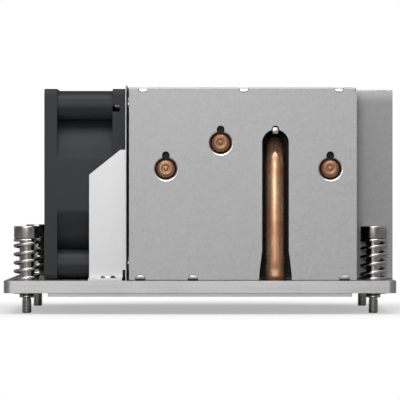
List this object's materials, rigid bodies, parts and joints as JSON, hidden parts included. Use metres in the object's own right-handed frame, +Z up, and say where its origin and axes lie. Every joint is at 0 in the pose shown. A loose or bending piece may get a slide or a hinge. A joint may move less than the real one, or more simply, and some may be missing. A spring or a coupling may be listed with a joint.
{
  "type": "active server cpu heatsink",
  "caption": "Server CPU cooler: folded fins on heat pipes over a flat base, with a fan at its end and sprung captive screws.",
  "frame": {"origin": "centre of the pedestal's contact face, which presses on the processor", "axes": "+X from the fan along the air flow, +Y across the fins away from the side with three pipe ends, +Z up from the base"},
  "size_m": [0.122, 0.078, 0.0714],
  "materials": {
    "plate_aluminium": "fine machined",
    "fin_aluminium": "matte rolled sheet",
    "pipe_copper": "bare copper, satin",
    "bracket_steel": "zinc-plated sheet",
    "fan_plastic": "fine matte moulding",
    "motor_steel": "satin",
    "motor_magnet": "bonded ferrite, matte",
    "bearing_brass": "turned",
    "bearing_bronze": "sintered",
    "coil_copper": "enamelled wire",
    "board_laminate": "solder mask",
    "screw_steel": "nickel-plated, bright",
    "ring_steel": "dark spring steel",
    "spring_steel": "nickel-plated, bright"
  },
  "bodies": {
    "heatsink": {"base_plate": "plate_aluminium", "heat_pipe_1": "pipe_copper", "heat_pipe_2": "pipe_copper", "heat_pipe_3": "pipe_copper", "heat_pipe_4": "pipe_copper", "near_cover_fin": "fin_aluminium", "near_slotted_fins": "fin_aluminium", "near_inner_fins": "fin_aluminium", "long_fins": "fin_aluminium", "far_inner_fins": "fin_aluminium", "far_slotted_fins": "fin_aluminium", "far_cover_fin": "fin_aluminium", "fan_bracket": "bracket_steel", "foot_screws": "screw_steel", "fan_screws": "screw_steel", "fan_frame": "fan_plastic", "bearing_tube": "bearing_brass", "sleeve_bearing": "bearing_bronze", "stator_core": "motor_steel", "stator_coils": "coil_copper", "circuit_board": "board_laminate", "spring_near_left": "spring_steel", "spring_near_right": "spring_steel", "spring_far_left": "spring_steel", "spring_far_right": "spring_steel"},
    "fan_rotor": {"impeller": "fan_plastic", "rotor_yoke": "motor_steel", "magnet_ring": "motor_magnet", "fan_shaft": "motor_steel", "shaft_clip": "motor_steel"},
    "ring_near_left": {"retaining_ring_near_left": "ring_steel"},
    "screw_near_left": {"spring_screw_near_left": "screw_steel"},
    "ring_near_right": {"retaining_ring_near_right": "ring_steel"},
    "screw_near_right": {"spring_screw_near_right": "screw_steel"},
    "ring_far_left": {"retaining_ring_far_left": "ring_steel"},
    "screw_far_left": {"spring_screw_far_left": "screw_steel"},
    "ring_far_right": {"retaining_ring_far_right": "ring_steel"},
    "screw_far_right": {"spring_screw_far_right": "screw_steel"}
  },
  "joints": [
    {"name": "fan_spin", "type": "hinge", "parent": "heatsink", "child": "fan_rotor", "pos_m": [-0.036, 0, 0.0349], "axis": [1, 0, 0], "continuous": true},
    {"name": "screw_press_near_left", "type": "slide", "parent": "heatsink", "child": "ring_near_left", "axis": [0, 0, 1], "range_m": [-0.0055, 0], "stiffness_N_per_m": 6500, "springref_m": 0.002, "deforming": ["spring_near_left"]},
    {"name": "screw_turn_near_left", "type": "hinge", "parent": "ring_near_left", "child": "screw_near_left", "pos_m": [-0.0545, -0.027, 0], "axis": [0, 0, 1], "continuous": true},
    {"name": "screw_press_near_right", "type": "slide", "parent": "heatsink", "child": "ring_near_right", "axis": [0, 0, 1], "range_m": [-0.0055, 0], "stiffness_N_per_m": 6500, "springref_m": 0.002, "deforming": ["spring_near_right"]},
    {"name": "screw_turn_near_right", "type": "hinge", "parent": "ring_near_right", "child": "screw_near_right", "pos_m": [0.0545, -0.027, 0], "axis": [0, 0, 1], "continuous": true},
    {"name": "screw_press_far_left", "type": "slide", "parent": "heatsink", "child": "ring_far_left", "axis": [0, 0, 1], "range_m": [-0.0055, 0], "stiffness_N_per_m": 6500, "springref_m": 0.002, "deforming": ["spring_far_left"]},
    {"name": "screw_turn_far_left", "type": "hinge", "parent": "ring_far_left", "child": "screw_far_left", "pos_m": [-0.0545, 0.027, 0], "axis": [0, 0, 1], "continuous": true},
    {"name": "screw_press_far_right", "type": "slide", "parent": "heatsink", "child": "ring_far_right", "axis": [0, 0, 1], "range_m": [-0.0055, 0], "stiffness_N_per_m": 6500, "springref_m": 0.002, "deforming": ["spring_far_right"]},
    {"name": "screw_turn_far_right", "type": "hinge", "parent": "ring_far_right", "child": "screw_far_right", "pos_m": [0.0545, 0.027, 0], "axis": [0, 0, 1], "continuous": true}
  ]
}
